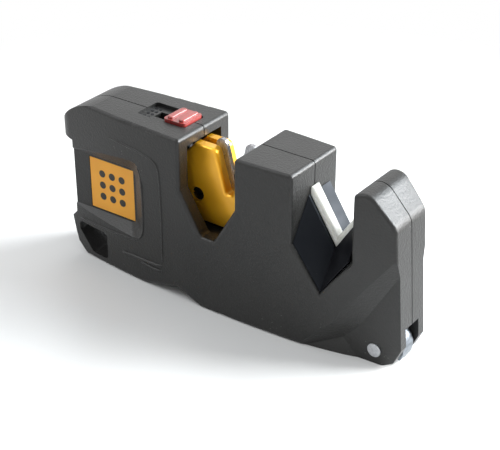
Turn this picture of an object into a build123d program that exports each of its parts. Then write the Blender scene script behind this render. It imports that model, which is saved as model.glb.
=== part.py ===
from build123d import *
from math import cos, radians, sin, sqrt, tan
import os

os.makedirs("parts", exist_ok=True)

# Pull through pocket knife sharpener, millimetres.
# X runs from the grip end to the tail end, Y from the front to the back, Z up.
# The origin is the middle of the base, on the surface that the sharpener stands on.

# Driving dimensions
overall_length = 108.0
block_height = 46.5
middle_half_depth = 11.0
side_bow_radius = 330.0
wall = 2.0
overrun = 20.0
edge_round = 0.85
running_clearance = 0.05
slip_clearance = 0.15
free_clearance = 0.30

half_length = overall_length / 2
left_end = -half_length
right_end = half_length

# Second notch, where the ceramic sits, behind the tail horn
horn_width = 13.5
notch2_width = 16.0
notch2_knee_height = 28.0
notch2_apex_height = 16.5
notch2_right = right_end - horn_width
notch2_left = notch2_right - notch2_width
notch2_centre = notch2_left + notch2_width / 2

# Middle block and first notch, where the carbide carrier rocks
block2_width = 16.5
notch1_width = 17.2
notch1_knee_height = 32.2
notch1_floor_height = 21.2
notch1_floor_width = 4.2
notch1_right = notch2_left - block2_width
notch1_left = notch1_right - notch1_width
notch1_centre = notch1_left + notch1_width / 2

# Tail horn
horn_height = 47.6
horn_top_width = 3.6
horn_crease_drop = 8.1
horn_crease_inset = 2.4
horn_shoulder_drop = 1.9
horn_round = 4.0
block_corner_round = 1.1
tail_foot_round = 2.6
tail_bulge_height = 6.0
tail_foot_inset = 5.0
tail_foot_rise = 1.6
tail_toe_inset = 2.0

# Grip end: a beaked head over a neck, and a shelf under it
head_top_inset = 14.0
head_crown_inset = 5.7
head_crown_drop = 3.2
head_nose_drop = 9.9
head_chin_inset = 1.9
chin_drop = 11.9
neck_inset = 5.5
neck_top_drop = 12.3
shelf_inset = 3.5
shelf_height = 10.4
shelf_neck_height = 12.4
base_start_inset = 9.3
base_corner_inset = 5.6
base_corner_height = 3.2
head_plan_round = 5.5

# Finger scoop with the label plate
scoop_floor_depth = 7.0
scoop_floor_bottom = 15.2
scoop_floor_top_drop = 15.1
scoop_floor_right_inset = 27.0
scoop_mouth_depth = 12.0
scoop_mouth_bottom = 11.1
scoop_mouth_top_drop = 7.9
scoop_mouth_right_inset = 34.4
scoop_corner_round = 2.2
scoop_mouth_round = 5.0
label_width = 15.2
label_height = 15.1
label_thickness = 0.8
label_left_inset = 11.1
label_bottom_height = 15.7
label_recess_depth = 0.9

# Lanyard hole and thumb notch in the lower edge
lanyard_right_inset = 17.6
lanyard_left_inset = 6.4
lanyard_floor_height = 1.8
lanyard_floor_left_inset = 11.6
lanyard_side_height = 7.4
lanyard_top_height = 9.9
lanyard_round = 1.2
thumb_reach = 6.2
thumb_width = 19.6
thumb_crown_gap = 7.8
thumb_depth = 3.0

# Tail set back on both faces
tail_step_depth_left = 7.1
tail_step_depth_right = 5.4
tail_step_top = 46.3
tail_step_lean = 62.0
tail_step_x_shares = (0.944, 0.874, 0.778, 0.676, 0.574, 0.490, 0.407)
tail_step_z_shares = (1.0, 0.840, 0.622, 0.391, 0.160, 0.043, -0.07)

# Seam between the two shells
seam_width = 0.3
seam_depth = 0.25

# Rocking carbide carrier
carrier_axis_drop = 16.5
carrier_half_depth = 3.9
carrier_half_width = 12.0
carrier_top_rise = 13.0
carrier_bottom_fall = 8.8
carrier_corner = 3.2
carbide_layer = 1.2
cheek_vee_offset = 1.9
cheek_vee_top_half_width = 4.2
cheek_vee_bottom_half_width = 0.9
cheek_vee_bottom_rise = 1.4
cheek_vee_round = 1.8
bay_half_depth = 7.1
bay_side_depth = 4.7
bay_floor_fall = 9.8
bay_top_rise = 13.6
pivot_pin_radius = 1.5
pivot_pin_length = 6.8
bush_radius = 2.7
bush_length = 3.0
carbide_apex_rise = 4.2
carbide_lean = 14.0
carbide_width = 3.3
carbide_top_rise = 15.4
carbide_tail_length = 5.5
carbide_nose_round = 1.5
carbide_thickness = 1.12
carrier_screw_spacing = 16.0
carrier_screw_fall = 1.2
carrier_screw_radius = 1.0
carrier_screw_head_radius = 1.75
carrier_screw_head_thickness = 1.1
carrier_screw_well_radius = 1.95
carrier_screw_well_depth = 1.5
carrier_pocket_half_depth = 3.1
carrier_pocket_rise = 6.0
carrier_pocket_height = 5.0
carrier_pocket_reach = 2.4

# Sliding lock on the top of the grip block
slider_travel = 6.0
slider_length = 6.8
slider_half_width = 3.9
slider_rise = 0.8
slider_ridge_length = 1.6
slider_ridge_rise = 0.6
slider_end_gap = 3.4
slider_recess_depth = 1.0
slider_recess_length = 15.6
slider_recess_end_gap = 3.1
slider_recess_half_width = 4.2
stem_length = 4.0
stem_half_width = 1.4
tongue_half_width = 1.0
tongue_rise = 7.3
tongue_thickness = 2.4
tongue_end_gap = 2.2
tongue_length = 12.0
lock_spring_thickness = 0.3
lock_spring_rise = 1.4
lock_spring_length = 9.0
lock_spring_half_width = 0.9

# Ceramic vee and its holder
holder_front_depth = 9.2
holder_ramp_depth = 6.7
holder_front_ramp_depth = 2.7
holder_body_half_depth = 5.0
holder_ramp_drop = 10.3
holder_side_reach = 1.8
holder_body_bottom = 11.2
holder_body_top = 26.8
ramp_top_height = 38.6
ceramic_lean = 32.5
ceramic_width = 4.9
ceramic_half_thickness = 1.8
ceramic_apex_height = 28.8
ceramic_foot_depth = 4.6
ceramic_top_height = 40.2
ceramic_edge_round = 1.2

# Flip out diamond rod
rod_pin_inset = 7.2
rod_pin_z = 3.8
rod_hub_radius = 6.2
rod_hub_flat = 2.9
rod_hub_half_depth = 2.4
rod_neck_reach = 10.8
rod_neck_half_height = 2.7
rod_root_radius = 2.3
rod_tip_radius = 1.4
rod_reach = 59.8
rod_insert = 6.0
rod_slot_half_width = 3.0
rod_channel_height = 7.2
rod_channel_end_gap = 3.0
hub_pocket_clearance = 1.0
rod_pin_radius = 1.3
rod_pin_head_radius = 1.85
rod_pin_head_thickness = 1.4
rod_pin_half_length = 6.0
hub_washer_radius = 2.9
rod_rivet_radius = 0.8
rod_spring_thickness = 0.45
rod_spring_half_width = 2.0
rod_spring_length = 21.0
rod_spring_reach = 1.2

# Shell screws, put in from the back
screw_head_inset = 10.8
screw_head_drop = 7.2
screw_grip_gap = 11.2
screw_grip_height = 13.5
screw_notch_gap = 0.5
screw_notch_height = 11.4
screw_block_gap = 9.0
screw_block_drop = 8.4
screw_radius = 1.25
screw_head_radius = 2.4
screw_head_thickness = 1.6
screw_seat_depth = 4.6
screw_tip_depth = 4.8
screw_socket_radius = 1.1
screw_socket_depth = 0.9

# Values that follow from those above
horn_crease_height = horn_height - horn_crease_drop
head_crown_height = block_height - head_crown_drop
head_nose_height = block_height - head_nose_drop
chin_height = block_height - chin_drop
neck_top_height = block_height - neck_top_drop
scoop_floor_top = block_height - scoop_floor_top_drop
scoop_mouth_top = block_height - scoop_mouth_top_drop
carrier_axis_height = block_height - carrier_axis_drop
carrier_top_height = carrier_axis_height + carrier_top_rise
carrier_bottom_height = carrier_axis_height - carrier_bottom_fall
cheek_vee_bottom_height = carrier_axis_height + cheek_vee_bottom_rise
bay_floor_height = carrier_axis_height - bay_floor_fall
bay_top_height = carrier_axis_height + bay_top_rise
carbide_apex_height = carrier_axis_height + carbide_apex_rise
carbide_top_height = carrier_axis_height + carbide_top_rise
carrier_screw_height = carrier_axis_height - carrier_screw_fall
carrier_pocket_bottom = carrier_axis_height + carrier_pocket_rise
carrier_pocket_top = carrier_pocket_bottom + carrier_pocket_height
tongue_bottom = carrier_axis_height + tongue_rise
tongue_top = tongue_bottom + tongue_thickness
screw_head_height = block_height - screw_head_drop
screw_block_height = block_height - screw_block_drop
tail_step_start = right_end * min(tail_step_x_shares)
tail_step_slope = (tail_step_depth_left - tail_step_depth_right) / (right_end - tail_step_start)
rim_slope_share = 0.9
plan_round_share = 0.9
vee_round_share = 0.8
ridge_width_share = 0.86
ridge_round_share = 0.4
bay_left = notch1_left - bay_side_depth
bush_outer_reach = notch1_width / 2 + bay_side_depth + bush_length
pivot_pin_start = bush_outer_reach - slip_clearance - pivot_pin_length
cheek_vee_centre = notch1_centre + cheek_vee_offset
cheek_left = notch1_centre - carrier_half_width
cheek_right = notch1_centre + carrier_half_width
cheek_edge_round = 0.8
carrier_screw_slot_width = 0.6
carrier_screw_seat = carrier_half_depth - carrier_screw_well_depth
carrier_screw_slot_floor = carrier_screw_seat + carrier_screw_head_thickness / 2
carrier_screw_places = [
    (notch1_centre - carrier_screw_spacing / 2, carrier_screw_height),
    (notch1_centre + carrier_screw_spacing / 2, carrier_screw_height),
]
slider_right = notch1_left - slider_end_gap
slider_centre = slider_right - slider_length / 2
slider_recess_right = notch1_left - slider_recess_end_gap
slider_recess_left = slider_recess_right - slider_recess_length
slider_base_height = block_height - slider_recess_depth + slip_clearance
stem_centre = slider_centre
tongue_reach = notch1_left - tongue_end_gap
tongue_channel_left = tongue_reach - tongue_length - slider_travel - free_clearance
lock_spring_centre = stem_centre - slider_travel / 2
lock_spring_pocket_depth = lock_spring_rise + lock_spring_thickness + 2 * slip_clearance
lock_spring_base = tongue_bottom - slip_clearance - lock_spring_rise
grip_hollow_left = left_end + neck_inset + wall
grip_hollow_right = left_end + scoop_floor_right_inset + wall
grip_hollow_bottom = scoop_floor_bottom
grip_hollow_top = scoop_floor_top
grip_hollow_centre_x = (grip_hollow_left + grip_hollow_right) / 2
grip_hollow_centre_z = (grip_hollow_bottom + grip_hollow_top) / 2
grip_hollow_half_depth = scoop_floor_depth - label_recess_depth - wall
rod_pin_x = right_end - rod_pin_inset
rod_tip_x = rod_pin_x - rod_reach
rod_channel_left = rod_tip_x - rod_channel_end_gap
rod_neck_end_x = rod_pin_x - rod_neck_reach
rod_root_x = rod_neck_end_x + rod_insert
rod_rivet_x = rod_neck_end_x + rod_insert / 2
hub_washer_seat = rod_hub_half_depth + running_clearance
rod_pin_head_seat = rod_pin_half_length - rod_pin_head_thickness
rod_spring_right = rod_pin_x + rod_spring_reach
rod_spring_left = rod_spring_right - rod_spring_length
rod_spring_bottom = rod_pin_z + rod_hub_radius + free_clearance
label_centre_x = left_end + label_left_inset + label_width / 2
label_centre_z = label_bottom_height + label_height / 2
thumb_right = notch1_left + thumb_reach
thumb_left = thumb_right - thumb_width
thumb_crown = thumb_right - thumb_crown_gap
ceramic_flat_height = ceramic_apex_height - ceramic_foot_depth
screw_places = [
    (left_end + screw_head_inset, screw_head_height),
    (notch1_left - screw_grip_gap, screw_grip_height),
    (notch1_right - screw_notch_gap, screw_notch_height),
    (notch1_right + screw_block_gap, screw_block_height),
]

# Ceramic vee, worked out from its lean
ramp_slope = tan(radians(ceramic_lean))
ceramic_side_reach = notch2_width / 2 - slip_clearance
ceramic_top_reach = (ceramic_top_height - ceramic_apex_height) * ramp_slope
ceramic_outer_apex = ceramic_apex_height - ceramic_width / sin(radians(ceramic_lean))
ceramic_flat_half_width = (ceramic_flat_height - ceramic_outer_apex) * ramp_slope
ceramic_side_height = ceramic_outer_apex + ceramic_side_reach / ramp_slope
ramp_apex_height = ramp_top_height - notch2_width / 2 / ramp_slope


def ramp_vee(drop):
    """Corners of the vee between the ramps, lowered by a drop, open at its top."""
    reach = notch2_width / 2 + overrun
    return [
        (notch2_centre, ramp_apex_height - drop),
        (notch2_centre + reach, ramp_apex_height - drop + reach / ramp_slope),
        (notch2_centre - reach, ramp_apex_height - drop + reach / ramp_slope),
    ]


# Slot that takes both ceramic arms, a touch larger than they are
ceramic_slot_points = [
    (notch2_centre - ceramic_flat_half_width - running_clearance, ceramic_flat_height - running_clearance),
    (notch2_centre + ceramic_flat_half_width + running_clearance, ceramic_flat_height - running_clearance),
    (notch2_right, ceramic_side_height - running_clearance),
    (notch2_right, ceramic_top_height),
    (notch2_left, ceramic_top_height),
    (notch2_left, ceramic_side_height - running_clearance),
]


def bow_depth(x):
    """Half the body's thickness at a place along its length."""
    return middle_half_depth - side_bow_radius + sqrt(side_bow_radius**2 - x**2)


# Front view outline of the whole body
def body_outline():
    """Draws the closed front view outline in the current line context."""
    head_top = (left_end + head_top_inset, block_height)
    head_crown = (left_end + head_crown_inset, head_crown_height)
    head_nose = (left_end, head_nose_height)
    head_chin = (left_end + head_chin_inset, chin_height)
    neck_top = (left_end + neck_inset, neck_top_height)
    neck_bottom = (left_end + neck_inset, shelf_neck_height)
    shelf_tip = (left_end + shelf_inset, shelf_height)
    corner = (left_end + base_corner_inset, base_corner_height)
    base_start = (left_end + base_start_inset, 0)
    base_end = (right_end - tail_foot_inset, 0)
    tail_toe = (right_end - tail_toe_inset, tail_foot_rise)
    tail_bulge = (right_end, tail_bulge_height)
    crease = (right_end - horn_crease_inset, horn_crease_height)
    horn_right = (notch2_right + horn_top_width, horn_height)
    horn_left = (notch2_right, horn_height - horn_shoulder_drop)
    ThreePointArc(head_top, head_crown, head_nose)
    Polyline(
        head_nose,
        head_chin,
        neck_top,
        neck_bottom,
        shelf_tip,
        corner,
        base_start,
        (thumb_left, 0),
        (thumb_crown, thumb_depth),
        (thumb_right, 0),
        base_end,
        tail_toe,
        tail_bulge,
        crease,
        horn_right,
        horn_left,
        (notch2_right, notch2_knee_height),
        (notch2_centre, notch2_apex_height),
        (notch2_left, notch2_knee_height),
        (notch2_left, block_height),
        (notch1_right, block_height),
        (notch1_right, notch1_knee_height),
        (notch1_centre + notch1_floor_width / 2, notch1_floor_height),
        (notch1_centre - notch1_floor_width / 2, notch1_floor_height),
        (notch1_left, notch1_knee_height),
        (notch1_left, block_height),
        head_top,
    )


def round_outline():
    """Rounds corners of the outline in the current sketch: blocks, horn, tail foot, first notch's floor."""
    for corner, radius in (
        ((notch1_left, block_height), block_corner_round),
        ((notch1_right, block_height), block_corner_round),
        ((notch2_left, block_height), block_corner_round),
        ((notch2_right, horn_height - horn_shoulder_drop), block_corner_round),
        ((notch2_right + horn_top_width, horn_height), horn_round),
        ((right_end - horn_crease_inset, horn_crease_height), horn_round),
        ((right_end - tail_toe_inset, tail_foot_rise), tail_foot_round / 2),
        ((right_end - tail_foot_inset, 0), tail_foot_round),
        ((notch1_centre + notch1_floor_width / 2, notch1_floor_height), block_corner_round),
        ((notch1_centre - notch1_floor_width / 2, notch1_floor_height), block_corner_round),
    ):
        fillet(vertices().sort_by_distance((corner[0], corner[1], 0))[0], radius=radius)


# Body blank, bowed in plan, with its edges rounded
end_depth = bow_depth(left_end)
with BuildPart() as body:
    with BuildSketch(Plane.XZ):
        with BuildLine():
            body_outline()
        make_face()
        round_outline()
    extrude(amount=middle_half_depth, both=True)
    with BuildSketch(Plane.XY.offset(-overrun)):
        with BuildLine():
            ThreePointArc((left_end, -end_depth), (0, -middle_half_depth), (right_end, -end_depth))
            Line((right_end, -end_depth), (right_end, end_depth))
            ThreePointArc((right_end, end_depth), (0, middle_half_depth), (left_end, end_depth))
            Line((left_end, end_depth), (left_end, -end_depth))
        make_face()
        plan_corners = vertices().group_by(Axis.X)[0]
        fillet(plan_corners, radius=min(head_plan_round, end_depth * plan_round_share))
    extrude(amount=block_height + 2 * overrun, mode=Mode.INTERSECT)

    rim_edges = edges().filter_by(lambda e: abs(e.tangent_at(0.5).Y) < rim_slope_share)
    rim_edges = rim_edges.filter_by(lambda e: abs(e.center().Y) > end_depth / 2)
    fillet(rim_edges.filter_by(lambda e: e.center().X > left_end + head_top_inset), radius=edge_round)

    # Tail set back on both faces, with a sloped step
    for side in (-1, 1):
        with BuildSketch(Plane.XY.offset(-overrun), mode=Mode.PRIVATE) as step_plan:
            with BuildLine():
                Polyline(
                    (0, side * (tail_step_depth_left + tail_step_slope * tail_step_start)),
                    (right_end + overrun, side * (tail_step_depth_right - tail_step_slope * overrun)),
                    (right_end + overrun, side * overrun),
                    (0, side * overrun),
                    close=True,
                )
            make_face()
        rim_plane = Plane((0, side * middle_half_depth, 0), x_dir=(side, 0, 0), z_dir=(0, -side, 0))
        with BuildSketch(rim_plane, mode=Mode.PRIVATE) as step_front:
            with BuildLine():
                Polyline(
                    *(
                        (side * right_end * x_share, tail_step_top * z_share)
                        for x_share, z_share in zip(tail_step_x_shares, tail_step_z_shares)
                    ),
                    (side * (right_end + overrun), -overrun),
                    (side * (right_end + overrun), tail_step_top),
                    close=True,
                )
            make_face()
        step_column = extrude(step_plan.sketch, amount=block_height + overrun, mode=Mode.PRIVATE)
        step_reach = middle_half_depth - tail_step_depth_right / 2
        step_wedge = extrude(step_front.sketch, amount=step_reach, taper=tail_step_lean, mode=Mode.PRIVATE)
        add(step_column & step_wedge, mode=Mode.SUBTRACT)

    # Finger scoops with sloped walls
    for side in (-1, 1):
        floor_plane = Plane((0, side * scoop_floor_depth, 0), x_dir=(1, 0, 0), z_dir=(0, side, 0))
        mouth_plane = Plane((0, side * scoop_mouth_depth, 0), x_dir=(1, 0, 0), z_dir=(0, side, 0))
        for plane, low, high, right_inset, corner in (
            (floor_plane, scoop_floor_bottom, scoop_floor_top, scoop_floor_right_inset, scoop_corner_round),
            (mouth_plane, scoop_mouth_bottom, scoop_mouth_top, scoop_mouth_right_inset, scoop_mouth_round),
        ):
            with BuildSketch(plane):
                with Locations(((left_end - overrun + left_end + right_inset) / 2, -side * (low + high) / 2)):
                    RectangleRounded(right_inset + overrun, high - low, radius=corner)
        loft(mode=Mode.SUBTRACT)

    # Lanyard hole through the lower left corner
    with BuildSketch(Plane.XZ):
        with BuildLine():
            Polyline(
                (left_end + lanyard_right_inset, lanyard_floor_height),
                (left_end + lanyard_right_inset, lanyard_top_height),
                (left_end + lanyard_left_inset, lanyard_top_height),
                (left_end + lanyard_left_inset, lanyard_side_height),
                (left_end + lanyard_floor_left_inset, lanyard_floor_height),
                close=True,
            )
        make_face()
        fillet(vertices(), radius=lanyard_round)
    extrude(amount=overrun, both=True, mode=Mode.SUBTRACT)

    # Fine groove where the two shells meet
    with BuildSketch(Plane.XZ):
        with BuildLine():
            body_outline()
        make_face()
        round_outline()
        offset(amount=-seam_depth, mode=Mode.SUBTRACT)
    extrude(amount=seam_width / 2, both=True, mode=Mode.SUBTRACT)

    # Bay for the rocking carrier, with a pocket into each neighbouring block
    with BuildSketch(Plane.XY.offset(bay_floor_height)):
        with Locations((notch1_centre, 0)):
            Rectangle(notch1_width + 2 * bay_side_depth, 2 * bay_half_depth)
    extrude(amount=bay_top_height - bay_floor_height, mode=Mode.SUBTRACT)
    # Seats of the two pivot bushes
    with BuildSketch(Plane.YZ.offset(notch1_centre)):
        with Locations((0, carrier_axis_height)):
            Circle(bush_radius)
    extrude(amount=bush_outer_reach, both=True, mode=Mode.SUBTRACT)

    # Bay for the ceramic holder
    with BuildSketch(Plane.XZ):
        with Locations((notch2_centre, (holder_body_bottom + holder_body_top) / 2)):
            Rectangle(
                notch2_width + 2 * holder_side_reach + 2 * slip_clearance,
                holder_body_top - holder_body_bottom + 2 * slip_clearance,
            )
    extrude(amount=holder_body_half_depth + slip_clearance, both=True, mode=Mode.SUBTRACT)

    # Track, slot, bolt channel and spring pocket of the sliding lock
    with BuildSketch(Plane.XY.offset(block_height - slider_recess_depth)):
        with Locations(((slider_recess_left + slider_recess_right) / 2, 0)):
            RectangleRounded(
                slider_recess_right - slider_recess_left, 2 * slider_recess_half_width, radius=edge_round
            )
    extrude(amount=overrun, mode=Mode.SUBTRACT)
    with BuildSketch(Plane.XY.offset(tongue_top)):
        with Locations((stem_centre - slider_travel / 2, 0)):
            Rectangle(
                stem_length + slider_travel + 2 * free_clearance, 2 * (stem_half_width + slip_clearance)
            )
    extrude(amount=overrun, mode=Mode.SUBTRACT)
    with BuildSketch(Plane.XY.offset(tongue_bottom - slip_clearance)):
        with Locations(((tongue_channel_left + bay_left + wall) / 2, 0)):
            Rectangle(bay_left + wall - tongue_channel_left, 2 * (stem_half_width + slip_clearance))
    extrude(amount=tongue_top - tongue_bottom + 2 * slip_clearance, mode=Mode.SUBTRACT)
    with BuildSketch(Plane.XY.offset(tongue_bottom - lock_spring_pocket_depth)):
        with Locations((lock_spring_centre, 0)):
            Rectangle(lock_spring_length + 2 * slip_clearance, 2 * (lock_spring_half_width + slip_clearance))
    extrude(amount=lock_spring_pocket_depth, mode=Mode.SUBTRACT)

    # Hollow of the grip
    with BuildSketch(Plane.XZ):
        with Locations((grip_hollow_centre_x, grip_hollow_centre_z)):
            RectangleRounded(
                grip_hollow_right - grip_hollow_left,
                grip_hollow_top - grip_hollow_bottom,
                radius=scoop_corner_round,
            )
    extrude(amount=grip_hollow_half_depth, both=True, mode=Mode.SUBTRACT)

    # Channel along the base for the folded rod, and the pocket of its hub
    with BuildSketch(Plane.XY.offset(-overrun)):
        with Locations(((rod_channel_left + right_end + overrun) / 2, 0)):
            Rectangle(right_end + overrun - rod_channel_left, 2 * rod_slot_half_width)
    extrude(amount=rod_channel_height + overrun, mode=Mode.SUBTRACT)
    with BuildSketch(Plane.XZ):
        with Locations((rod_pin_x, rod_pin_z)):
            Circle(rod_hub_radius + hub_pocket_clearance)
        with Locations((rod_pin_x + overrun / 2, rod_pin_z)):
            Rectangle(overrun, 2 * (rod_hub_radius + hub_pocket_clearance))
    extrude(amount=rod_slot_half_width, both=True, mode=Mode.SUBTRACT)
    # Ledge of the leaf that rests over the hub
    with BuildSketch(Plane.XY.offset(rod_spring_bottom - slip_clearance)):
        with Locations(((rod_spring_left + rod_spring_right) / 2, 0)):
            Rectangle(
                rod_spring_right - rod_spring_left + 2 * slip_clearance,
                2 * (rod_spring_half_width + slip_clearance),
            )
    extrude(amount=rod_spring_thickness + 2 * slip_clearance, mode=Mode.SUBTRACT)
    # Seats of the hinge pin and its two heads
    with BuildSketch(Plane.XZ):
        with Locations((rod_pin_x, rod_pin_z)):
            Circle(rod_pin_radius + running_clearance)
    extrude(amount=overrun, both=True, mode=Mode.SUBTRACT)
    for side in (-1, 1):
        with BuildSketch(Plane((0, side * rod_pin_head_seat, 0), x_dir=(1, 0, 0), z_dir=(0, side, 0))):
            with Locations((rod_pin_x, -side * rod_pin_z)):
                Circle(rod_pin_head_radius + running_clearance)
        extrude(amount=overrun, mode=Mode.SUBTRACT)

# Front shell, with the seat of the label plate and blind holes for the screws
with BuildPart() as front_shell:
    add(body.part)
    split(bisect_by=Plane.XZ, keep=Keep.TOP)
    with BuildSketch(Plane.XZ.offset(scoop_floor_depth - label_recess_depth)):
        with Locations((label_centre_x, label_centre_z)):
            Rectangle(label_width + 2 * slip_clearance, label_height + 2 * slip_clearance)
    extrude(amount=overrun, mode=Mode.SUBTRACT)
    with BuildSketch(Plane.XZ):
        with Locations(*screw_places):
            Circle(screw_radius)
    extrude(amount=screw_tip_depth + slip_clearance, mode=Mode.SUBTRACT)
front_shell.part.label = "front_shell"

# Back shell, with clearance holes and deep seats for the screw heads
with BuildPart() as back_shell:
    add(body.part)
    split(bisect_by=Plane.XZ, keep=Keep.BOTTOM)
    with BuildSketch(Plane.XZ):
        with Locations(*screw_places):
            Circle(screw_radius + running_clearance)
    extrude(amount=-overrun, mode=Mode.SUBTRACT)
    with BuildSketch(Plane.XZ.offset(-screw_seat_depth)):
        with Locations(*screw_places):
            Circle(screw_head_radius + slip_clearance)
    extrude(amount=-overrun, mode=Mode.SUBTRACT)
back_shell.part.label = "back_shell"

# Shell screws with round heads and a driver socket
with BuildPart() as shell_screws:
    with BuildSketch(Plane.XZ.offset(screw_tip_depth)):
        with Locations(*screw_places):
            Circle(screw_radius)
    extrude(amount=-(screw_tip_depth + screw_seat_depth))
    with BuildSketch(Plane.XZ.offset(-screw_seat_depth)):
        with Locations(*screw_places):
            Circle(screw_head_radius)
    extrude(amount=-screw_head_thickness)
    with BuildSketch(Plane.XZ.offset(-(screw_seat_depth + screw_head_thickness - screw_socket_depth))):
        with Locations(*screw_places):
            RegularPolygon(radius=screw_socket_radius, side_count=6)
    extrude(amount=-overrun, mode=Mode.SUBTRACT)
shell_screws.part.label = "shell_screws"

# Square label plate in the front scoop
with BuildPart() as label_plate:
    with BuildSketch(Plane.XZ.offset(scoop_floor_depth - label_recess_depth)):
        with Locations((label_centre_x, label_centre_z)):
            Rectangle(label_width, label_height)
    extrude(amount=label_thickness)
label_plate.part.label = "label_plate"


cheek_points = [
    (cheek_left + carrier_corner, carrier_bottom_height),
    (cheek_right - carrier_corner, carrier_bottom_height),
    (cheek_right, carrier_bottom_height + carrier_corner),
    (cheek_right, carrier_top_height - carrier_corner),
    (cheek_right - carrier_corner, carrier_top_height),
    (cheek_vee_centre + cheek_vee_top_half_width, carrier_top_height),
    (cheek_vee_centre + cheek_vee_bottom_half_width, cheek_vee_bottom_height),
    (cheek_vee_centre - cheek_vee_bottom_half_width, cheek_vee_bottom_height),
    (cheek_vee_centre - cheek_vee_top_half_width, carrier_top_height),
    (cheek_left + carrier_corner, carrier_top_height),
    (cheek_left, carrier_top_height - carrier_corner),
    (cheek_left, carrier_bottom_height + carrier_corner),
]


def make_cheek(side, label):
    """One cheek of the carrier: side is -1 at the front and 1 at the back."""
    with BuildPart() as cheek:
        with BuildSketch(Plane.XZ.offset(-side * carbide_layer)):
            with BuildLine():
                Polyline(*cheek_points, close=True)
            make_face()
            vee_corners = vertices().sort_by(lambda v: abs(v.X - cheek_vee_centre))[:4]
            fillet(vee_corners.sort_by(Axis.Y)[:2], radius=cheek_vee_bottom_half_width * vee_round_share)
            vee_lips = vertices().group_by(Axis.Y)[-1].sort_by(lambda v: abs(v.X - cheek_vee_centre))[:2]
            fillet(vee_lips, radius=cheek_vee_round)
        extrude(amount=-side * (carrier_half_depth - carbide_layer))
        outer = faces().sort_by(Axis.Y)[0 if side < 0 else -1]
        fillet(outer.edges(), radius=cheek_edge_round)
        # Half round seats of the pivot pins
        with BuildSketch(Plane.YZ.offset(notch1_centre)):
            with Locations((0, carrier_axis_height)):
                Circle(pivot_pin_radius)
        extrude(amount=overrun, both=True, mode=Mode.SUBTRACT)
        # Room for the lock bolt
        with BuildSketch(Plane.XY.offset(carrier_pocket_bottom)):
            with Locations((cheek_left + (carrier_pocket_reach - overrun) / 2, 0)):
                Rectangle(carrier_pocket_reach + overrun, 2 * carrier_pocket_half_depth)
        extrude(amount=carrier_pocket_top - carrier_pocket_bottom, mode=Mode.SUBTRACT)
        # Clamp screw holes, with wells in the front cheek
        with BuildSketch(Plane.XZ):
            with Locations(*carrier_screw_places):
                Circle(carrier_screw_radius + running_clearance)
        extrude(amount=overrun, both=True, mode=Mode.SUBTRACT)
        if side < 0:
            with BuildSketch(Plane.XZ.offset(carrier_screw_seat)):
                with Locations(*carrier_screw_places):
                    Circle(carrier_screw_well_radius)
            extrude(amount=overrun, mode=Mode.SUBTRACT)
    cheek.part.label = label
    return cheek.part


carrier_front_cheek = make_cheek(-1, "carrier_front_cheek")
carrier_rear_cheek = make_cheek(1, "carrier_rear_cheek")

# Screws that clamp the cheeks on the carbides
with BuildPart() as carrier_screws:
    with BuildSketch(Plane.XZ.offset(carrier_screw_seat)):
        with Locations(*carrier_screw_places):
            Circle(carrier_screw_radius)
    extrude(amount=-(2 * carrier_half_depth - carrier_screw_well_depth - slip_clearance))
    with BuildSketch(Plane.XZ.offset(carrier_screw_seat)):
        with Locations(*carrier_screw_places):
            Circle(carrier_screw_head_radius)
    extrude(amount=carrier_screw_head_thickness)
    with BuildSketch(Plane.XZ.offset(carrier_screw_slot_floor)):
        with Locations(*carrier_screw_places):
            Rectangle(2 * carrier_screw_head_radius + slip_clearance, carrier_screw_slot_width)
    extrude(amount=overrun, mode=Mode.SUBTRACT)
carrier_screws.part.label = "carrier_screws"


def make_carbide(lean_side, depth, label):
    """A carbide blade: lean_side is -1 for the blade whose top leans left."""
    lean = radians(carbide_lean)
    along = (lean_side * sin(lean), cos(lean))
    outward = (lean_side * cos(lean), -sin(lean))
    rise = (carbide_top_height - carbide_apex_height) / cos(lean)
    apex = (cheek_vee_centre, carbide_apex_height)

    def place(up, out):
        return (apex[0] + along[0] * up + outward[0] * out, apex[1] + along[1] * up + outward[1] * out)

    with BuildPart() as blade:
        with BuildSketch(Plane.XZ.offset(depth)):
            with BuildLine():
                Polyline(
                    place(-carbide_tail_length, 0),
                    place(rise, 0),
                    place(rise, carbide_width),
                    place(-carbide_tail_length, carbide_width),
                    close=True,
                )
            make_face()
            fillet(vertices().sort_by(Axis.Y)[-2:], radius=carbide_nose_round)
        extrude(amount=carbide_thickness)
    blade.part.label = label
    return blade.part


carbide_left = make_carbide(-1, carbide_layer - carbide_thickness, "carbide_left")
carbide_right = make_carbide(1, -carbide_layer, "carbide_right")

# Pins on which the carrier rocks, and their bushes in the shells
with BuildPart() as pivot_pins:
    for side in (-1, 1):
        with BuildSketch(Plane.YZ.offset(notch1_centre + side * pivot_pin_start)):
            with Locations((0, carrier_axis_height)):
                Circle(pivot_pin_radius)
        extrude(amount=side * pivot_pin_length)
pivot_pins.part.label = "pivot_pins"

with BuildPart() as pivot_bushes:
    for side in (-1, 1):
        with BuildSketch(Plane.YZ.offset(notch1_centre + side * (bush_outer_reach - bush_length))):
            with Locations((0, carrier_axis_height)):
                Circle(bush_radius)
                Circle(pivot_pin_radius + running_clearance, mode=Mode.SUBTRACT)
        extrude(amount=side * bush_length)
pivot_bushes.part.label = "pivot_bushes"

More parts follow.
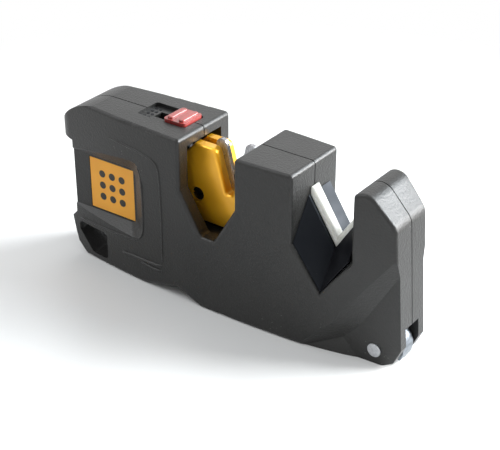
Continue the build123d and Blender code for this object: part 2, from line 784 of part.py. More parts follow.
# Red slider with a raised ridge at each end
with BuildPart() as lock_slider:
    with BuildSketch(Plane.XY.offset(slider_base_height)):
        with Locations((slider_centre, 0)):
            RectangleRounded(slider_length, 2 * slider_half_width, radius=edge_round)
    extrude(amount=slider_rise + slider_recess_depth - slip_clearance)
    with BuildSketch(Plane.XY.offset(block_height + slider_rise)):
        with Locations(
            (slider_centre - slider_length / 2 + slider_ridge_length, 0),
            (slider_centre + slider_length / 2 - slider_ridge_length, 0),
        ):
            RectangleRounded(
                slider_ridge_length,
                2 * slider_half_width * ridge_width_share,
                radius=slider_ridge_length * ridge_round_share,
            )
    extrude(amount=slider_ridge_rise)
    top_edges = edges().group_by(Axis.Z)[-1]
    fillet(top_edges, radius=slider_ridge_rise / 2)
lock_slider.part.label = "lock_slider"

# Bolt with its stem, which the slider drives
with BuildPart() as lock_tongue:
    with BuildSketch(Plane.XY.offset(tongue_bottom)):
        with Locations((tongue_reach - tongue_length / 2, 0)):
            Rectangle(tongue_length, 2 * tongue_half_width)
    extrude(amount=tongue_top - tongue_bottom)
    with BuildSketch(Plane.XY.offset(tongue_top)):
        with Locations((stem_centre, 0)):
            Rectangle(stem_length, 2 * stem_half_width)
    extrude(amount=slider_base_height - tongue_top)
lock_tongue.part.label = "lock_tongue"

# Leaf under the bolt: a shallow arch that bears on it
with BuildPart() as lock_detent_spring:
    with BuildSketch(Plane.XZ):
        with BuildLine() as leaf_line:
            leaf_arc = ThreePointArc(
                (lock_spring_centre - lock_spring_length / 2, lock_spring_base),
                (lock_spring_centre, lock_spring_base + lock_spring_rise),
                (lock_spring_centre + lock_spring_length / 2, lock_spring_base),
            )
            offset(amount=lock_spring_thickness, side=Side.RIGHT)
        make_face()
    extrude(amount=lock_spring_half_width, both=True)
lock_detent_spring.part.label = "lock_detent_spring"

# Glossy holder with the vee ramps
with BuildPart() as ceramic_holder:
    with BuildSketch(Plane.XZ):
        with BuildLine():
            Polyline(
                (notch2_left + slip_clearance, ramp_top_height),
                (notch2_left + slip_clearance, notch2_knee_height),
                (notch2_centre, notch2_apex_height + slip_clearance),
                (notch2_right - slip_clearance, notch2_knee_height),
                (notch2_right - slip_clearance, ramp_top_height),
                close=True,
            )
        make_face()
    extrude(amount=holder_front_depth, both=True)
    with BuildSketch(Plane.XZ):
        with Locations((notch2_centre, (holder_body_bottom + holder_body_top) / 2)):
            Rectangle(notch2_width + 2 * holder_side_reach, holder_body_top - holder_body_bottom)
    extrude(amount=holder_body_half_depth, both=True)
    # Vee ramps, level behind the arms and falling away to each face
    with BuildSketch(Plane.XZ) as holder_vee:
        with BuildLine():
            Polyline(*ramp_vee(0), close=True)
        make_face()
    extrude(amount=holder_front_ramp_depth, mode=Mode.SUBTRACT)
    extrude(holder_vee.sketch, amount=-holder_ramp_depth, mode=Mode.SUBTRACT)
    for side, level_depth in ((-1, holder_front_ramp_depth), (1, holder_ramp_depth)):
        for depth, drop in ((level_depth, 0), (holder_front_depth, holder_ramp_drop)):
            with BuildSketch(Plane((0, side * depth, 0), x_dir=(1, 0, 0), z_dir=(0, -1, 0))):
                with BuildLine():
                    Polyline(*ramp_vee(drop), close=True)
                make_face()
        loft(ruled=True, mode=Mode.SUBTRACT)
    # Slot for the ceramic arms and their pads
    with BuildSketch(Plane.XZ):
        with BuildLine():
            Polyline(*ceramic_slot_points, close=True)
        make_face()
    extrude(amount=ceramic_half_thickness + running_clearance, both=True, mode=Mode.SUBTRACT)
ceramic_holder.part.label = "ceramic_holder"


def make_ceramic(side, label):
    """One arm of the ceramic vee: side is -1 for the left arm."""
    with BuildPart() as arm:
        with BuildSketch(Plane.XZ):
            with BuildLine():
                Polyline(
                    (notch2_centre, ceramic_flat_height),
                    (notch2_centre, ceramic_apex_height),
                    (notch2_centre + side * ceramic_top_reach, ceramic_top_height),
                    (notch2_centre + side * ceramic_side_reach, ceramic_top_height),
                    (notch2_centre + side * ceramic_side_reach, ceramic_side_height),
                    (notch2_centre + side * ceramic_flat_half_width, ceramic_flat_height),
                    close=True,
                )
            make_face()
        extrude(amount=ceramic_half_thickness, both=True)
        inner_edges = edges().filter_by(lambda e: abs(e.tangent_at(0.5).Y) < rim_slope_share)
        inner_edges = inner_edges.filter_by(lambda e: e.length > ceramic_width * 2)
        fillet(inner_edges, radius=ceramic_edge_round)
    arm.part.label = label
    return arm.part


ceramic_left = make_ceramic(-1, "ceramic_left")
ceramic_right = make_ceramic(1, "ceramic_right")

# Hub of the folding rod: a disc with a flat, and a neck that holds the rod
with BuildPart() as rod_hub:
    with BuildSketch(Plane.XZ):
        with Locations((rod_pin_x, rod_pin_z)):
            Circle(rod_hub_radius)
        with Locations((rod_pin_x - rod_neck_reach / 2, rod_pin_z)):
            Rectangle(rod_neck_reach, 2 * rod_neck_half_height)
        with Locations((rod_pin_x, rod_pin_z - rod_hub_flat - rod_hub_radius / 2)):
            Rectangle(2 * rod_hub_radius, rod_hub_radius, mode=Mode.SUBTRACT)
        with Locations((rod_pin_x, rod_pin_z)):
            Circle(rod_pin_radius + running_clearance, mode=Mode.SUBTRACT)
        with Locations((rod_rivet_x, rod_pin_z)):
            Circle(rod_rivet_radius, mode=Mode.SUBTRACT)
    extrude(amount=rod_hub_half_depth, both=True)
    with BuildSketch(Plane.YZ.offset(rod_root_x)):
        with Locations((0, rod_pin_z)):
            Circle(rod_root_radius)
    extrude(amount=-overrun, mode=Mode.SUBTRACT)
rod_hub.part.label = "rod_hub"

# Tapered diamond rod with a rounded tip
with BuildPart() as diamond_rod:
    with BuildSketch(Plane.YZ.offset(rod_root_x)):
        with Locations((0, rod_pin_z)):
            Circle(rod_root_radius)
    with BuildSketch(Plane.YZ.offset(rod_neck_end_x)):
        with Locations((0, rod_pin_z)):
            Circle(rod_root_radius)
    loft()
    with BuildSketch(Plane.YZ.offset(rod_neck_end_x)):
        with Locations((0, rod_pin_z)):
            Circle(rod_root_radius)
    with BuildSketch(Plane.YZ.offset(rod_tip_x)):
        with Locations((0, rod_pin_z)):
            Circle(rod_tip_radius)
    loft()
    fillet(edges().sort_by(Axis.X)[0], radius=rod_tip_radius / 2)
    with BuildSketch(Plane.XZ):
        with Locations((rod_rivet_x, rod_pin_z)):
            Circle(rod_rivet_radius)
    extrude(amount=overrun, both=True, mode=Mode.SUBTRACT)
diamond_rod.part.label = "diamond_rod"

with BuildPart() as rod_rivet:
    with BuildSketch(Plane.XZ):
        with Locations((rod_rivet_x, rod_pin_z)):
            Circle(rod_rivet_radius)
    extrude(amount=rod_hub_half_depth, both=True)
rod_rivet.part.label = "rod_rivet"

# Hinge pin with a head at each end, and the washers beside the hub
with BuildPart() as rod_pin:
    with BuildSketch(Plane.XZ):
        with Locations((rod_pin_x, rod_pin_z)):
            Circle(rod_pin_radius)
    extrude(amount=rod_pin_head_seat, both=True)
    for side in (-1, 1):
        with BuildSketch(Plane((0, side * rod_pin_head_seat, 0), x_dir=(1, 0, 0), z_dir=(0, side, 0))):
            with Locations((rod_pin_x, -side * rod_pin_z)):
                Circle(rod_pin_head_radius)
        extrude(amount=rod_pin_head_thickness)
rod_pin.part.label = "rod_pin"

with BuildPart() as hub_washers:
    for side in (-1, 1):
        washer_plane = Plane((0, side * hub_washer_seat, 0), x_dir=(1, 0, 0), z_dir=(0, side, 0))
        with BuildSketch(washer_plane):
            with Locations((rod_pin_x, -side * rod_pin_z)):
                Circle(hub_washer_radius)
                Circle(rod_pin_radius + running_clearance, mode=Mode.SUBTRACT)
        extrude(amount=rod_slot_half_width - rod_hub_half_depth - 2 * running_clearance)
hub_washers.part.label = "hub_washers"

# Leaf over the hub
with BuildPart() as rod_detent_spring:
    with BuildSketch(Plane.XY.offset(rod_spring_bottom)):
        with Locations(((rod_spring_left + rod_spring_right) / 2, 0)):
            Rectangle(rod_spring_right - rod_spring_left, 2 * rod_spring_half_width)
    extrude(amount=rod_spring_thickness)
rod_detent_spring.part.label = "rod_detent_spring"

pieces = [
    front_shell.part,
    back_shell.part,
    shell_screws.part,
    label_plate.part,
    carrier_front_cheek,
    carrier_rear_cheek,
    carrier_screws.part,
    carbide_left,
    carbide_right,
    pivot_pins.part,
    pivot_bushes.part,
    lock_slider.part,
    lock_tongue.part,
    lock_detent_spring.part,
    ceramic_holder.part,
    ceramic_left,
    ceramic_right,
    rod_hub.part,
    diamond_rod.part,
    rod_rivet.part,
    rod_pin.part,
    hub_washers.part,
    rod_detent_spring.part,
]
for piece in pieces:
    export_step(piece, "parts/" + piece.label + ".step")
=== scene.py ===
"""Looks of the pull through knife sharpener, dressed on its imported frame."""
import math

import bmesh
import bpy
from mathutils import Matrix, Vector
from mathutils.bvhtree import BVHTree


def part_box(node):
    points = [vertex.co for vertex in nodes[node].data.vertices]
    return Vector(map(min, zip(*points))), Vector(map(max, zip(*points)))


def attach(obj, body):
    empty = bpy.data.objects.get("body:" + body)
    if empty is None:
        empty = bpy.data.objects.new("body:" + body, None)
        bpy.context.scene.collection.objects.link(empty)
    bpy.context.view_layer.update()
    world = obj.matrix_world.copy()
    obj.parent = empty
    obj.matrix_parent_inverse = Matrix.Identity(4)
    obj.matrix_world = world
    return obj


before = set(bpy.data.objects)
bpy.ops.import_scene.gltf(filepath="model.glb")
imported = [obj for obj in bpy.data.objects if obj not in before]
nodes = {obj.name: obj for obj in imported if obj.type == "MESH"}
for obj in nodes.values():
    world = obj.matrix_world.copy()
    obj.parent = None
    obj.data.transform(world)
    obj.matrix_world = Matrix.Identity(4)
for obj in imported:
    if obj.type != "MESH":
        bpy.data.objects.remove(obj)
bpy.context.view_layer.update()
MM = 0.001

# Depth of the bump on moulded and on ground surfaces, in metres
MOULDED_RELIEF = 0.00006
GROUND_RELIEF = 0.00004

# Sockets of the Mix node by place, because its colours share their names with its numbers
MIX_FACTOR, MIX_FIRST, MIX_SECOND, MIX_RESULT = 0, 6, 7, 2


# Materials: shared effects

def new_group(name, inputs, outputs):
    """An empty shader node group with float sockets: inputs with their defaults, and outputs by name."""
    group = bpy.data.node_groups.new(name, "ShaderNodeTree")
    for label, value in inputs.items():
        socket = group.interface.new_socket(label, in_out="INPUT", socket_type="NodeSocketFloat")
        socket.default_value = value
    for label in outputs:
        group.interface.new_socket(label, in_out="OUTPUT", socket_type="NodeSocketFloat")
    return group


def add_node(tree, kind, **settings):
    """A node of that kind, with its own settings."""
    node = tree.nodes.new(kind)
    for label, value in settings.items():
        setattr(node, label, value)
    return node


def noise_layer(tree, coordinates, scale_from, detail, roughness):
    """A noise texture whose scale comes from a socket."""
    noise = add_node(tree, "ShaderNodeTexNoise")
    noise.inputs["Detail"].default_value = detail
    noise.inputs["Roughness"].default_value = roughness
    tree.links.new(coordinates, noise.inputs["Vector"])
    tree.links.new(scale_from, noise.inputs["Scale"])
    return noise.outputs["Fac"]


def plain_noise(tree, coordinates, scale, detail):
    """A noise texture with a scale of its own."""
    noise = add_node(tree, "ShaderNodeTexNoise")
    noise.inputs["Scale"].default_value = scale
    noise.inputs["Detail"].default_value = detail
    tree.links.new(coordinates, noise.inputs["Vector"])
    return noise.outputs["Fac"]


def blended_height(tree, parts):
    """Sum of several (value, weight) pairs; a weight is a socket or a number."""
    total = None
    for value, weight in parts:
        product = add_node(tree, "ShaderNodeMath", operation="MULTIPLY")
        tree.links.new(value, product.inputs[0])
        if isinstance(weight, float):
            product.inputs[1].default_value = weight
        else:
            tree.links.new(weight, product.inputs[1])
        if total is None:
            total = product.outputs[0]
            continue
        joined = add_node(tree, "ShaderNodeMath", operation="ADD")
        tree.links.new(total, joined.inputs[0])
        tree.links.new(product.outputs[0], joined.inputs[1])
        total = joined.outputs[0]
    return total


def ramped(tree, value, low, high):
    """A value spread over 0 to 1 between two levels."""
    spread = add_node(tree, "ShaderNodeMapRange", interpolation_type="SMOOTHSTEP")
    spread.inputs["From Min"].default_value = low
    spread.inputs["From Max"].default_value = high
    tree.links.new(value, spread.inputs["Value"])
    return spread.outputs["Result"]


def make_spark_texture():
    """Fine spark eroded grain of a moulded plastic, with slow unevenness and dust."""
    uneven_weight = 0.35
    speck_scale, speck_radius = 700.0, 0.09
    group = new_group(
        "moulded_grain",
        {"Grain Scale": 2600.0, "Uneven Scale": 60.0, "Grain Weight": 0.7, "Dust Level": 0.62},
        ("Height", "Uneven", "Dust"),
    )
    ins = add_node(group, "NodeGroupInput")
    outs = add_node(group, "NodeGroupOutput")
    place = add_node(group, "ShaderNodeTexCoord").outputs["Object"]
    grain = noise_layer(group, place, ins.outputs["Grain Scale"], detail=3.0, roughness=0.6)
    uneven = noise_layer(group, place, ins.outputs["Uneven Scale"], detail=2.0, roughness=0.5)
    height = blended_height(group, ((grain, ins.outputs["Grain Weight"]), (uneven, uneven_weight)))
    group.links.new(height, outs.inputs["Height"])
    group.links.new(ramped(group, uneven, low=0.3, high=0.7), outs.inputs["Uneven"])
    specks = add_node(group, "ShaderNodeTexVoronoi")
    specks.inputs["Scale"].default_value = speck_scale
    group.links.new(place, specks.inputs["Vector"])
    near = add_node(group, "ShaderNodeMath", operation="LESS_THAN")
    near.inputs[1].default_value = speck_radius
    group.links.new(specks.outputs["Distance"], near.inputs[0])
    patch = noise_layer(group, place, ins.outputs["Uneven Scale"], detail=1.0, roughness=0.5)
    some = add_node(group, "ShaderNodeMath", operation="GREATER_THAN")
    group.links.new(patch, some.inputs[0])
    group.links.new(ins.outputs["Dust Level"], some.inputs[1])
    dust = add_node(group, "ShaderNodeMath", operation="MULTIPLY")
    group.links.new(near.outputs[0], dust.inputs[0])
    group.links.new(some.outputs[0], dust.inputs[1])
    group.links.new(dust.outputs[0], outs.inputs["Dust"])
    return group


def make_brushing():
    """Lines left by grinding or brushing along one axis, and small scuffs."""
    group = new_group(
        "ground_lines",
        {"Line Scale": 900.0, "Stretch X": 1.0, "Stretch Y": 1.0, "Stretch Z": 1.0},
        ("Height", "Lines", "Scuffs"),
    )
    ins = add_node(group, "NodeGroupInput")
    outs = add_node(group, "NodeGroupOutput")
    place = add_node(group, "ShaderNodeTexCoord").outputs["Object"]
    stretch = add_node(group, "ShaderNodeCombineXYZ")
    for axis in "XYZ":
        group.links.new(ins.outputs["Stretch " + axis], stretch.inputs[axis])
    scaled = add_node(group, "ShaderNodeVectorMath", operation="MULTIPLY")
    group.links.new(place, scaled.inputs[0])
    group.links.new(stretch.outputs[0], scaled.inputs[1])
    lines = noise_layer(group, scaled.outputs[0], ins.outputs["Line Scale"], detail=4.0, roughness=0.7)
    group.links.new(lines, outs.inputs["Height"])
    group.links.new(ramped(group, lines, low=0.35, high=0.65), outs.inputs["Lines"])
    scuffs = plain_noise(group, place, scale=180.0, detail=5.0)
    group.links.new(ramped(group, scuffs, low=0.5, high=0.72), outs.inputs["Scuffs"])
    return group


grain_group = make_spark_texture()
brush_group = make_brushing()


def start_material(name, shine):
    """A material with its Principled shader, set by socket name."""
    material = bpy.data.materials.new(name)
    material.use_nodes = True
    shader = material.node_tree.nodes["Principled BSDF"]
    for label, value in shine.items():
        shader.inputs[label].default_value = value
    return material, material.node_tree, shader


def use_group(tree, group, values):
    """Places an effect with this material's own values."""
    node = add_node(tree, "ShaderNodeGroup")
    node.node_tree = group
    for label, value in values.items():
        node.inputs[label].default_value = value
    return node


def mix_colours(tree, factor, first, second):
    """Colour that runs from the first to the second with a value; the first may be a socket."""
    mix = add_node(tree, "ShaderNodeMix", data_type="RGBA")
    if isinstance(first, tuple):
        mix.inputs[MIX_FIRST].default_value = (*first, 1.0)
    else:
        tree.links.new(first, mix.inputs[MIX_FIRST])
    mix.inputs[MIX_SECOND].default_value = (*second, 1.0)
    tree.links.new(factor, mix.inputs[MIX_FACTOR])
    return mix.outputs[MIX_RESULT]


def set_roughness(tree, shader, value, low, high):
    """Roughness that runs between two levels with a value."""
    spread = add_node(tree, "ShaderNodeMapRange")
    spread.inputs["To Min"].default_value = low
    spread.inputs["To Max"].default_value = high
    tree.links.new(value, spread.inputs["Value"])
    tree.links.new(spread.outputs["Result"], shader.inputs["Roughness"])


def set_bump(tree, shader, height, strength, distance):
    """Bump in metres from a height value."""
    bump = add_node(tree, "ShaderNodeBump")
    bump.inputs["Strength"].default_value = strength
    bump.inputs["Distance"].default_value = distance
    tree.links.new(height, bump.inputs["Height"])
    tree.links.new(bump.outputs["Normal"], shader.inputs["Normal"])


def moulded(name, dark, light, shine, rough, grain, strength, dust=None, relief=MOULDED_RELIEF):
    """Moulded or painted finish with a fine grain."""
    material, tree, shader = start_material(name, shine)
    effect = use_group(tree, grain_group, grain)
    colour = mix_colours(tree, effect.outputs["Uneven"], dark, light)
    if dust:
        colour = mix_colours(tree, effect.outputs["Dust"], colour, dust)
    tree.links.new(colour, shader.inputs["Base Color"])
    set_roughness(tree, shader, effect.outputs["Uneven"], *rough)
    set_bump(tree, shader, effect.outputs["Height"], strength, relief)
    return material


def ground(name, dark, light, shine, rough, lines, strength):
    """Machined surface with scuffs and grinding lines.

    lines holds the scale of the grinding lines, and their stretch along X, Y and Z.
    """
    material, tree, shader = start_material(name, shine)
    labels = ("Line Scale", "Stretch X", "Stretch Y", "Stretch Z")
    effect = use_group(tree, brush_group, dict(zip(labels, lines)))
    tree.links.new(mix_colours(tree, effect.outputs["Lines"], dark, light), shader.inputs["Base Color"])
    set_roughness(tree, shader, effect.outputs["Scuffs"], *rough)
    set_bump(tree, shader, effect.outputs["Height"], strength, GROUND_RELIEF)
    return material


satin_black = moulded(
    "satin_black_body", dark=(0.0085, 0.0083, 0.0077), light=(0.0120, 0.0117, 0.0108),
    shine={"Specular IOR Level": 0.44, "Sheen Weight": 0.03, "Sheen Roughness": 0.5}, rough=(0.36, 0.44),
    grain={"Grain Scale": 1700.0, "Uneven Scale": 70.0, "Grain Weight": 0.8, "Dust Level": 0.66},
    strength=1.0, dust=(0.10, 0.098, 0.095), relief=0.00014,
)
gloss_black = moulded(
    "gloss_black_holder", dark=(0.004, 0.004, 0.005), light=(0.007, 0.007, 0.008),
    shine={"Specular IOR Level": 0.20, "Specular Tint": (0.66, 0.77, 0.92, 1.0)}, rough=(0.40, 0.54),
    grain={"Grain Scale": 1500.0, "Uneven Scale": 160.0, "Grain Weight": 0.5, "Dust Level": 0.62},
    strength=0.25, dust=(0.12, 0.12, 0.12),
)
orange_plate = moulded(
    "orange_label_plate", dark=(0.78, 0.34, 0.028), light=(0.84, 0.38, 0.036),
    shine={"Specular IOR Level": 0.4}, rough=(0.42, 0.50),
    grain={"Grain Scale": 1800.0, "Uneven Scale": 90.0, "Grain Weight": 0.4}, strength=0.15,
)
red_slider = moulded(
    "red_slider_plastic", dark=(0.25, 0.026, 0.022), light=(0.32, 0.038, 0.032),
    shine={"Specular IOR Level": 0.6, "Coat Weight": 0.3, "Coat Roughness": 0.16}, rough=(0.26, 0.34),
    grain={"Grain Scale": 1600.0, "Uneven Scale": 200.0, "Grain Weight": 0.4}, strength=0.2,
)
gold_paint = moulded(
    "gold_carrier_coating", dark=(0.80, 0.38, 0.012), light=(0.92, 0.46, 0.020),
    shine={"Metallic": 0.55, "Coat Weight": 0.35, "Coat Roughness": 0.14}, rough=(0.27, 0.34),
    grain={"Grain Scale": 2200.0, "Uneven Scale": 90.0, "Grain Weight": 0.4}, strength=0.18,
)
ceramic_white = ground(
    "white_ceramic", dark=(0.66, 0.655, 0.60), light=(0.74, 0.735, 0.69),
    shine={"Specular IOR Level": 0.5, "Subsurface Weight": 0.15,
           "Subsurface Radius": (0.0015, 0.0014, 0.0012), "Subsurface Scale": 0.6},
    rough=(0.32, 0.48), lines=(700.0, 0.4, 3.0, 0.4), strength=0.12,
)


def ground_metal(name, dark, light, rough, lines, strength):
    """Bare metal with grinding lines and scuffs."""
    return ground(name, dark, light, {"Metallic": 1.0}, rough, lines, strength)


carbide_grey = ground_metal(
    "ground_carbide", dark=(0.22, 0.22, 0.23), light=(0.40, 0.40, 0.41), rough=(0.24, 0.42),
    lines=(900.0, 3.0, 0.3, 0.6), strength=0.3,
)
pin_steel = ground_metal(
    "polished_pin_steel", dark=(0.46, 0.47, 0.49), light=(0.60, 0.61, 0.63), rough=(0.30, 0.44),
    lines=(1200.0, 1.0, 0.3, 1.0), strength=0.15,
)
hub_steel = ground_metal(
    "satin_hub_steel", dark=(0.17, 0.19, 0.215), light=(0.26, 0.285, 0.315), rough=(0.30, 0.46),
    lines=(1000.0, 1.0, 0.3, 1.0), strength=0.15,
)
screw_steel = ground_metal(
    "dark_screw_steel", dark=(0.10, 0.10, 0.105), light=(0.17, 0.17, 0.175), rough=(0.30, 0.44),
    lines=(1400.0, 1.0, 1.0, 1.0), strength=0.3,
)
spring_steel = ground_metal(
    "rolled_spring_steel", dark=(0.34, 0.35, 0.37), light=(0.48, 0.49, 0.51), rough=(0.24, 0.36),
    lines=(800.0, 0.2, 3.0, 1.0), strength=0.3,
)
bush_brass = ground_metal(
    "turned_bush_brass", dark=(0.50, 0.34, 0.12), light=(0.66, 0.47, 0.18), rough=(0.26, 0.40),
    lines=(900.0, 3.0, 0.5, 0.5), strength=0.3,
)


def make_diamond_grit():
    """Nickel plating with diamond grains set in it."""
    grain_scale, grain_relief = 5200.0, 0.00005
    shine = {"Metallic": 0.75, "Specular IOR Level": 0.7}
    material, tree, shader = start_material("diamond_grit_coating", shine)
    place = add_node(tree, "ShaderNodeTexCoord").outputs["Object"]
    grains = add_node(tree, "ShaderNodeTexVoronoi")
    grains.inputs["Scale"].default_value = grain_scale
    tree.links.new(place, grains.inputs["Vector"])
    worn = plain_noise(tree, place, scale=220.0, detail=4.0)
    colour = mix_colours(
        tree, grains.outputs["Distance"], first=(0.32, 0.32, 0.31), second=(0.09, 0.093, 0.096)
    )
    tree.links.new(colour, shader.inputs["Base Color"])
    set_roughness(tree, shader, ramped(tree, worn, low=0.35, high=0.65), low=0.38, high=0.62)
    set_bump(tree, shader, grains.outputs["Distance"], strength=0.9, distance=grain_relief)
    return material


diamond_grit = make_diamond_grit()

finishes = {
    satin_black: ("front_shell", "back_shell"),
    gloss_black: ("ceramic_holder",),
    orange_plate: ("label_plate",),
    red_slider: ("lock_slider",),
    gold_paint: ("carrier_front_cheek", "carrier_rear_cheek"),
    ceramic_white: ("ceramic_left", "ceramic_right"),
    carbide_grey: ("carbide_left", "carbide_right"),
    pin_steel: ("rod_pin", "pivot_pins", "rod_rivet"),
    hub_steel: ("rod_hub",),
    screw_steel: ("shell_screws", "carrier_screws", "hub_washers", "lock_tongue"),
    spring_steel: ("lock_detent_spring", "rod_detent_spring"),
    bush_brass: ("pivot_bushes",),
    diamond_grit: ("diamond_rod",),
}


def dress(piece, material):
    """Gives a piece one material."""
    piece.data.materials.clear()
    piece.data.materials.append(material)


for material, names in finishes.items():
    for name in names:
        dress(nodes[name], material)


# Pieces that the frame doesn't hold

# Section of a moulded line, from side to side: shares of its half width and of its rise
LINE_SECTION_SHARES = (
    (-1, -0.4), (-0.75, 0.35), (-0.35, 0.85), (0, 1), (0.35, 0.85), (0.75, 0.35), (1, -0.4),
)

# Steps from one corner of a line to the next, and steps over which its ends rise
LINE_STEPS = 10
LINE_TAPER_STEPS = 4

# Distance from the middle plane at which the rays towards a shell start
RAY_START = 0.03


def add_piece(name, shape, material, smooth=True):
    """Turns a bmesh into a piece on the root body."""
    mesh = bpy.data.meshes.new(name)
    for face in shape.faces:
        face.smooth = smooth
    shape.to_mesh(mesh)
    shape.free()
    mesh.materials.append(material)
    piece = bpy.data.objects.new(name, mesh)
    bpy.context.scene.collection.objects.link(piece)
    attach(piece, "root")
    return piece


def surface_tree(node):
    """Ray tree of a CAD node's surface."""
    shape = bmesh.new()
    shape.from_mesh(nodes[node].data)
    tree = BVHTree.FromBMesh(shape)
    shape.free()
    return tree


def curve_value(before, start, end, after, t):
    """One coordinate of a Catmull Rom curve, at a share t of the way from start to end."""
    square = 2 * before - 5 * start + 4 * end - after
    cube = 3 * start - before - 3 * end + after
    return 0.5 * (2 * start + (end - before) * t + square * t**2 + cube * t**3)


def smooth_path(corners, steps):
    """Points of a rounded line through corners, with so many steps from one to the next."""
    padded = [corners[0], *corners, corners[-1]]
    points = []
    for four in zip(padded, padded[1:], padded[2:], padded[3:]):
        for step in range(steps):
            points.append(tuple(curve_value(*values, step / steps) for values in zip(*four)))
    points.append(corners[-1])
    return points


def join_rings(shape, rings, next_rings):
    """Faces between each ring of vertices and the next."""
    for one, other in zip(rings, next_rings):
        for index in range(len(one)):
            following = (index + 1) % len(one)
            shape.faces.new((one[index], one[following], other[following], other[index]))


def raised_line(name, node, side, corners, half_width, rise, material):
    """A low moulded line on a shell's face, through corners in X and Z, in mm.

    side is -1 on the front and 1 on the back.
    """
    tree = surface_tree(node)
    spine = []
    for x, z in smooth_path(corners, LINE_STEPS):
        start = Vector((x * MM, side * RAY_START, z * MM))
        place, normal, _, _ = tree.ray_cast(start, Vector((0, -side, 0)))
        if place is not None:
            spine.append((place, normal))
    shape = bmesh.new()
    rings = []
    for index, (place, normal) in enumerate(spine):
        before, after = spine[max(index - 1, 0)][0], spine[min(index + 1, len(spine) - 1)][0]
        across = normal.cross((after - before).normalized()).normalized()
        taper = min(1.0, min(index, len(spine) - 1 - index) / LINE_TAPER_STEPS)
        rings.append([
            shape.verts.new(place + across * share * half_width * MM + normal * lift * rise * taper * MM)
            for share, lift in LINE_SECTION_SHARES
        ])
    join_rings(shape, rings, rings[1:])
    shape.faces.new(rings[0])
    shape.faces.new(rings[-1])
    bmesh.ops.recalc_face_normals(shape, faces=shape.faces)
    return add_piece(name, shape, material)


def make_panel_lines():
    """Moulded lines on both faces of the grip: panel edge, foot crease, shelf edge and scoop edge."""
    panel_edge = (
        (-33.5, 39.9), (-24.0, 39.3), (-18.2, 38.2), (-16.4, 36.8), (-15.9, 34.0), (-15.6, 27.6),
        (-15.5, 18.0), (-15.6, 9.0),
    )
    foot_crease_upper = ((-30.6, 6.6), (-26.6, 7.0), (-21.0, 7.2), (-15.8, 7.5))
    foot_crease_lower = ((-23.4, 6.2), (-19.6, 5.9), (-16.2, 5.9))
    shelf_edge = ((-47.0, 11.2), (-42.0, 11.1), (-34.0, 11.5), (-24.6, 12.3))
    scoop_edge = ((-24.2, 12.8), (-22.6, 15.0), (-22.1, 19.0), (-22.1, 27.0), (-22.5, 31.5), (-23.8, 34.6))
    # Name, corners, half width and rise, in mm
    lines = (
        ("panel_edge", panel_edge, 0.34, 0.25),
        ("foot_crease_upper", foot_crease_upper, 0.50, 0.42),
        ("foot_crease_lower", foot_crease_lower, 0.42, 0.34),
        ("shelf_edge", shelf_edge, 0.36, 0.28),
        ("scoop_edge", scoop_edge, 0.34, 0.26),
    )
    for side, node, word in ((-1, "front_shell", "front"), (1, "back_shell", "back")):
        for label, corners, half_width, rise in lines:
            piece = raised_line(label + "_" + word, node, side, corners, half_width, rise, satin_black)


def make_stud_tree():
    """Geometry nodes that set small round studs on a grid, in the plane of X and Y."""
    tree = bpy.data.node_groups.new("stud_grid", "GeometryNodeTree")
    tree.interface.new_socket("Geometry", in_out="OUTPUT", socket_type="NodeSocketGeometry")
    for kind, labels in (
        ("NodeSocketInt", ("Columns", "Rows", "Sides")),
        ("NodeSocketFloat", ("Column Pitch", "Row Pitch", "Stud Radius", "Stud Height")),
        ("NodeSocketMaterial", ("Finish",)),
    ):
        for label in labels:
            tree.interface.new_socket(label, in_out="INPUT", socket_type=kind)
    ins = add_node(tree, "NodeGroupInput")
    outs = add_node(tree, "NodeGroupOutput")
    spans = []
    for count, pitch in (("Columns", "Column Pitch"), ("Rows", "Row Pitch")):
        gaps = add_node(tree, "ShaderNodeMath", operation="SUBTRACT")
        gaps.inputs[1].default_value = 1.0
        tree.links.new(ins.outputs[count], gaps.inputs[0])
        span = add_node(tree, "ShaderNodeMath", operation="MULTIPLY")
        tree.links.new(gaps.outputs[0], span.inputs[0])
        tree.links.new(ins.outputs[pitch], span.inputs[1])
        spans.append(span.outputs[0])
    grid = add_node(tree, "GeometryNodeMeshGrid")
    tree.links.new(spans[0], grid.inputs["Size X"])
    tree.links.new(spans[1], grid.inputs["Size Y"])
    tree.links.new(ins.outputs["Columns"], grid.inputs["Vertices X"])
    tree.links.new(ins.outputs["Rows"], grid.inputs["Vertices Y"])
    stud = add_node(tree, "GeometryNodeMeshCylinder")
    tree.links.new(ins.outputs["Sides"], stud.inputs["Vertices"])
    tree.links.new(ins.outputs["Stud Radius"], stud.inputs["Radius"])
    tree.links.new(ins.outputs["Stud Height"], stud.inputs["Depth"])
    spread = add_node(tree, "GeometryNodeInstanceOnPoints")
    tree.links.new(grid.outputs["Mesh"], spread.inputs["Points"])
    tree.links.new(stud.outputs["Mesh"], spread.inputs["Instance"])
    real = add_node(tree, "GeometryNodeRealizeInstances")
    tree.links.new(spread.outputs[0], real.inputs[0])
    finish = add_node(tree, "GeometryNodeSetMaterial")
    tree.links.new(real.outputs[0], finish.inputs["Geometry"])
    tree.links.new(ins.outputs["Finish"], finish.inputs["Material"])
    tree.links.new(finish.outputs[0], outs.inputs[0])
    return tree


